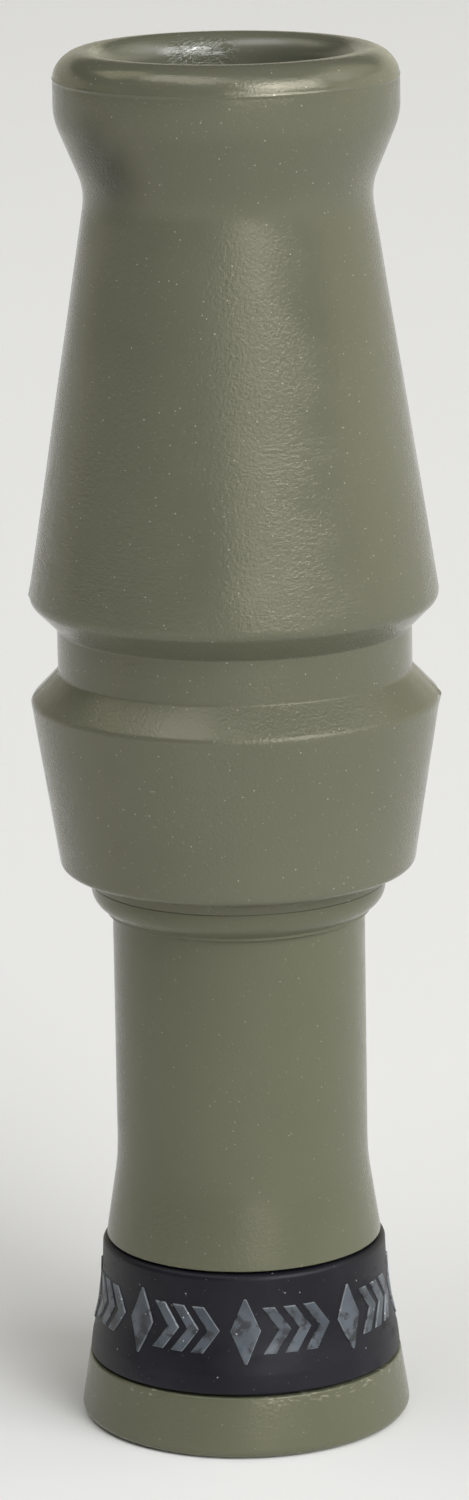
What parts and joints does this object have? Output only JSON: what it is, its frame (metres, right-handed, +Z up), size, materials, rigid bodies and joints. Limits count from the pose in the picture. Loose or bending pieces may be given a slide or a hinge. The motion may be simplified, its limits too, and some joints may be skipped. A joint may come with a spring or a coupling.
{
  "type": "grunt tube call",
  "caption": "Handheld deer grunt call: a conical barrel with rolled mouth and lanyard groove, sliding on a flared exhaust insert with a rubber band.",
  "frame": {"origin": "centre of the bell's bottom face, on the table the call stands on", "axes": "+Z up the call's axis towards the mouthpiece, -Y the way the reed faces, +X to the right seen from -Y"},
  "size_m": [0.0408, 0.0408, 0.14],
  "materials": {
    "olive_plastic": "satin moulded, fine texture",
    "band_rubber": "matt, raised ornament in the visual",
    "seal_rubber": "smooth, greased",
    "board_plastic": "smooth moulded",
    "reed_mylar": "frosted film",
    "cork": "cut cork"
  },
  "bodies": {
    "insert": {"insert": "olive_plastic", "grip_band": "band_rubber", "tone_board": "board_plastic", "reed_wedge": "cork"},
    "seals": {"lower_o_ring": "seal_rubber", "upper_o_ring": "seal_rubber"},
    "barrel": {"barrel": "olive_plastic"},
    "reed": {"reed": "reed_mylar"},
    "tuning_ring": {"tuning_ring": "seal_rubber"}
  },
  "joints": [
    {"name": "barrel_twist", "type": "hinge", "parent": "insert", "child": "seals", "pos_m": [0, 0, 0.0564], "axis": [0, 0, 1], "continuous": true},
    {"name": "barrel_pull", "type": "slide", "parent": "seals", "child": "barrel", "axis": [0, 0, 1], "range_m": [0, 0.08]},
    {"name": "reed_flex", "type": "hinge", "parent": "insert", "child": "reed", "pos_m": [0, -0.00198, 0.078], "axis": [-1, 0, 0], "range_deg": [-0.8, 1.3], "stiffness_Nm_per_rad": 0.012},
    {"name": "tuning_slide", "type": "slide", "parent": "insert", "child": "tuning_ring", "axis": [0, 0, 1], "range_m": [-0.006, 0.012]}
  ]
}
